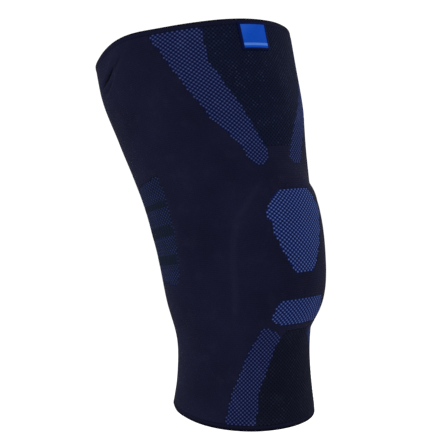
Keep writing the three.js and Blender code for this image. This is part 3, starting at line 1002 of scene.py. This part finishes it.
def blue_mesh_cloth():
    """Blue loops over a dark ground with painted shade in its open holes, brighter where the tone is higher.
    """
    material, bench, shader, stitches = knit_material("blue_mesh_cloth", 0.75, 0.012)
    lattice = use_group(bench, loop_lattice, Stitches=stitches, Loop_Size=0.35, Hole_Size=0.4)
    fuzz = use_group(bench, yarn_fuzz, Fineness=1.3, Amount=0.7)
    tone = tone_of(bench)
    ground = dyed_yarn(
        bench, bench.mix(tone, (0.0052, 0.0085, 0.040, 1), (0.0078, 0.0162, 0.082, 1)),
        (0.02, 0.03, 0.1, 1), 0.5, 0.2,
    )
    loops = dyed_yarn(
        bench, bench.mix(tone, (0.0295, 0.0385, 0.098, 1), (0.056, 0.087, 0.228, 1)),
        (0.1, 0.13, 0.28, 1), 0.4, 0.2,
    )
    knit = bench.mix(lattice["Loop"], ground, loops)
    # Painted shade in the open holes of the mesh
    hole_shaded = bench.mix(lattice["Hole"], knit, (0.001, 0.0016, 0.02, 1))
    fibrous = bench.mix(bench.times(fuzz["Fibres"], 0.15), hole_shaded, (0.06, 0.08, 0.17, 1))
    bench.feed(shader.inputs["Base Color"], fibrous)
    with_bump(bench, shader, (lattice["Height"], 0.2 * MM, 0.6), (fuzz["Height"], 0.12 * MM, 0.6))
    return material


def dark_panel_cloth():
    """Near-black coarse knit with faint specks and painted shade in its holes, bluer where the tone is
    higher.
    """
    material, bench, shader, stitches = knit_material("dark_panel_cloth", 0.88, 0.01)
    lattice = use_group(bench, loop_lattice, Stitches=stitches, Loop_Size=0.3, Hole_Size=0.5)
    fuzz = use_group(bench, yarn_fuzz, Fineness=0.8, Amount=0.8)
    tone = tone_of(bench)
    ground = dyed_yarn(
        bench, bench.mix(tone, (0.0044, 0.0053, 0.0128, 1), (0.0042, 0.0058, 0.0172, 1)),
        (0.009, 0.011, 0.024, 1), 0.6, 0.3,
    )
    patches = bench.ramp(bench.noise(stitches, 0.11, 3.0, 0.7), 0.4, 0.62)
    whole = bench.add("ShaderNodeVectorMath", {0: stitches}, operation="FLOOR").outputs[0]
    cells = bench.add("ShaderNodeTexWhiteNoise", {"Vector": whole}, noise_dimensions="2D")
    uneven = bench.times(bench.ramp(cells.outputs["Value"], 0.2, 1.0), patches)
    speck = bench.times(lattice["Loop"], uneven)
    speck_colour = bench.mix(tone, (0.012, 0.014, 0.031, 1), (0.0145, 0.0205, 0.052, 1))
    specked = bench.mix(speck, ground, speck_colour)
    # Painted shade in the holes of the panel's knit
    hole_shaded = bench.mix(bench.times(lattice["Hole"], 0.6), specked, (0.001, 0.001, 0.003, 1))
    fibrous = bench.mix(bench.times(fuzz["Fibres"], 0.08), hole_shaded, (0.02, 0.02, 0.04, 1))
    bench.feed(shader.inputs["Base Color"], fibrous)
    with_bump(bench, shader, (lattice["Height"], 0.2 * MM, 0.7), (fuzz["Height"], 0.12 * MM, 0.6))
    return material


def hollow_cloth():
    """Ribbed dark navy knit with dim blue stripes, and painted shade in the holes of the stripes."""
    material, bench, shader, stitches = knit_material("hollow_cloth", 0.8, 0.012)
    lattice = use_group(bench, loop_lattice, Stitches=stitches, Loop_Size=0.45, Hole_Size=0.4)
    stitch = use_group(bench, plain_stitch, Stitches=stitches)
    fuzz = use_group(bench, yarn_fuzz, Fineness=1.0, Amount=0.6)
    uneven = bench.ramp(bench.noise(stitches, 0.12, 3.0, 0.6), 0.3, 0.7)
    stripe = bench.times(tone_of(bench), bench.sum("MULTIPLY_ADD", uneven, 0.5, 0.5))
    bars = dyed_yarn(bench, (0.0045, 0.0068, 0.0155, 1), (0.01, 0.012, 0.025, 1), 0.5, 0.2)
    dim = dyed_yarn(bench, (0.0048, 0.0069, 0.0215, 1), (0.011, 0.014, 0.04, 1), 0.8, 0.2)
    blue = bench.mix(lattice["Loop"], dim, (0.015, 0.022, 0.075, 1))
    # Painted shade in the holes between the stripes' loops
    holes = bench.times(bench.times(lattice["Hole"], stripe), 0.6)
    striped = bench.mix(stripe, bars, blue)
    bench.feed(shader.inputs["Base Color"], bench.mix(holes, striped, (0.0015, 0.0018, 0.006, 1)))
    with_bump(bench, shader, (stitch["Height"], 0.2 * MM, 0.7), (fuzz["Height"], 0.1 * MM, 0.6))
    return material


def rim_cloth():
    """Finished edge of fine ribs with painted stitch shading on them, near black along its very edge."""
    material, bench, shader, stitches = knit_material("rim_cloth", 0.85, 0.012)
    stitch = use_group(bench, plain_stitch, Stitches=stitches, Stitches_Across=2.0)
    fuzz = use_group(bench, yarn_fuzz, Fineness=0.9, Amount=0.8)
    course = bench.add("ShaderNodeSeparateXYZ", {"Vector": stitches}).outputs[1]
    thigh_edge = bench.ramp(course, COURSES - 1.2, COURSES - 0.5)
    calf_edge = bench.ramp(bench.times(course, -1.0), -2.2, -0.6)
    colour = dyed_yarn(bench, (0.0048, 0.0053, 0.0162, 1), (0.01, 0.01, 0.022, 1), 0.5, 0.3)
    # Painted light and shade on each stitch of the ribs
    rib_shaded = bench.mix(bench.times(stitch["Shade"], 0.4), colour, (0.01, 0.0105, 0.026, 1))
    edge = bench.times(bench.sum("MAXIMUM", thigh_edge, calf_edge), 0.85)
    bench.feed(shader.inputs["Base Color"], bench.mix(edge, rib_shaded, (0.001, 0.001, 0.0025, 1)))
    with_bump(bench, shader, (stitch["Height"], 0.2 * MM, 0.8), (fuzz["Height"], 0.12 * MM, 0.7))
    return material


def label_cloth():
    """Bright blue woven satin, dark along its edges, with one lighter woven bar, painted highlights on its
    threads and a painted sheen towards its upper left.
    """
    material, bench, shader, _ = knit_material("label_cloth", 0.6, 0.005)
    square = bench.add("ShaderNodeUVMap", uv_map="Label").outputs[0]
    place = bench.add("ShaderNodeSeparateXYZ", {"Vector": square}).outputs
    edge_x = bench.sum("MINIMUM", place[0], bench.sum("SUBTRACT", 1.0, place[0]))
    edge_y = bench.sum("MINIMUM", place[1], bench.sum("SUBTRACT", 1.0, place[1]))
    inside = bench.ramp(bench.sum("MINIMUM", edge_x, edge_y), LABEL_EDGE * 0.85, LABEL_EDGE * 1.15)
    weft = bench.sum("SINE", bench.times(place[1], 2 * math.pi * LABEL_WEFTS))
    across, up = bench.times(place[0], LABEL_TWILLS), bench.times(place[1], LABEL_WEFTS)
    slant = bench.sum("ADD", across, up)
    twill = bench.sum("SINE", bench.times(slant, 2 * math.pi))
    weave = bench.sum("MULTIPLY_ADD", bench.sum("ADD", weft, twill), 0.25, 0.5)
    fuzz = use_group(bench, yarn_fuzz, Fineness=1.5, Amount=0.4)
    field = dyed_yarn(bench, (0.002, 0.042, 0.31, 1), (0.012, 0.08, 0.45, 1), 0.3, 0.3)
    # The weave's pattern, with a painted highlight on the crests of its threads
    woven = bench.mix(bench.times(weave, 0.3), field, (0.005, 0.065, 0.42, 1))
    # Painted sheen, lighter towards the label's upper left corner
    corner = bench.ramp(bench.sum("SUBTRACT", place[1], place[0]), 0.1, 1.0)
    with_painted_sheen = bench.mix(bench.times(corner, 0.35), woven, (0.03, 0.12, 0.5, 1))
    start, end = LABEL_BAR["head"]
    above = bench.ramp(place[1], *LABEL_BAR["foot"])
    below = bench.ramp(bench.times(place[1], -1.0), -end, -start)
    bar = bench.times(bench.times(above, below), 0.5)
    barred = bench.mix(bar, with_painted_sheen, (0.1, 0.24, 0.62, 1))
    # Dark along the label's edges
    bench.feed(shader.inputs["Base Color"], bench.mix(inside, (0.002, 0.004, 0.03, 1), barred))
    with_bump(bench, shader, (weave, 0.08 * MM, 0.8), (fuzz["Height"], 0.06 * MM, 0.5))
    return material


plain_cloth = plain_knit_cloth()
mesh_cloth = blue_mesh_cloth()
panel_cloth = dark_panel_cloth()
stripe_cloth = hollow_cloth()
edge_cloth = rim_cloth()
satin_cloth = label_cloth()

tube = place_piece(knit_tube(), "plain_knit", plain_cloth, "knit_sleeve")
thigh_rim = place_piece(rolled_rim("thigh_rim", body_head, COURSES), "welt_knit", edge_cloth, "top_welt")
calf_rim = place_piece(rolled_rim("calf_rim", 0, body_foot), "welt_knit", edge_cloth, "bottom_welt")

mesh_knit = ("mesh_knit", mesh_cloth, MESH_FINENESS, mesh_loops)
panel_knit = ("panel_knit", panel_cloth, PANEL_FINENESS, panel_loops)
for node, tone in ZONE_TONES.items():
    slot, cloth, fineness, loops = panel_knit if node.endswith("panel") else mesh_knit
    piece = inlaid_knit(node + "_knit", body & (zones == node), fineness, loops, even_tone(tone))
    place_piece(piece, slot, cloth, node)
hollow_mask = body & (zones == "knee_hollow_mesh")
hollow = inlaid_knit("knee_hollow_knit", hollow_mask, HOLLOW_FINENESS, hollow_ribs, stripe_tone)
place_piece(hollow, "hollow_knit", stripe_cloth, "knee_hollow_mesh")
label = place_piece(woven_label(), "woven_label", satin_cloth, "label")


def soft_light(name, place, size, power):
    """A square lamp that faces the knee."""
    lamp = bpy.data.lights.new(name, "AREA")
    lamp.size = size
    lamp.energy = power
    light = bpy.data.objects.new(name, lamp)
    light.location = place
    light.rotation_euler = (-Vector(place)).to_track_quat("-Z", "Y").to_euler()
    bpy.context.scene.collection.objects.link(light)


def studio():
    """A white room with soft lamps, and a plain pale floor well under the hanging sleeve."""
    world = bpy.data.worlds.new("studio")
    bpy.context.scene.world = world
    world.use_nodes = True
    background = world.node_tree.nodes["Background"]
    background.inputs["Color"].default_value = (1, 1, 1, 1)
    background.inputs["Strength"].default_value = ROOM_LIGHT
    for lamp in LAMPS:
        soft_light(**lamp)
    floor_mesh = bpy.data.meshes.new("floor")
    level = cad_box[0].z - FLOOR_DROP
    corners = [(x * FLOOR_REACH, y * FLOOR_REACH, level) for x, y in CORNER_WAYS]
    floor_mesh.from_pydata(corners, [], [(0, 1, 2, 3)])
    floor = bpy.data.objects.new("floor", floor_mesh)
    bpy.context.scene.collection.objects.link(floor)
    pale = bpy.data.materials.new("pale_floor")
    pale.use_nodes = True
    bench = Bench(pale.node_tree)
    shader = pale.node_tree.nodes["Principled BSDF"]
    grain = bench.noise(bench.add("ShaderNodeTexCoord").outputs["Object"], 6.0)
    bench.feed(shader.inputs["Base Color"], bench.mix(grain, (0.93, 0.93, 0.93, 1), (0.97, 0.97, 0.97, 1)))
    shader.inputs["Roughness"].default_value = 0.9
    floor_mesh.materials.append(pale)


def camera():
    """The photograph's view, aimed at the middle of the knee."""
    turn, rise = math.radians(VIEW_AZIMUTH), math.radians(VIEW_ELEVATION)
    back = Vector((math.sin(turn) * math.cos(rise), -math.cos(turn) * math.cos(rise), math.sin(rise)))
    lens = bpy.data.cameras.new("camera")
    lens.lens = FOCAL_LENGTH
    lens.shift_x = (0.5 * FRAME_PIXELS - KNEE_PIXEL[0]) / FRAME_PIXELS
    lens.shift_y = (KNEE_PIXEL[1] - 0.5 * FRAME_PIXELS) / FRAME_PIXELS
    lens.clip_start = 0.01
    eye = bpy.data.objects.new("camera", lens)
    eye.location = back * VIEW_DISTANCE
    eye.rotation_euler = (-back).to_track_quat("-Z", "Y").to_euler()
    bpy.context.scene.collection.objects.link(eye)
    bpy.context.scene.camera = eye


studio()
camera()
bpy.context.scene.view_settings.view_transform = "Standard"
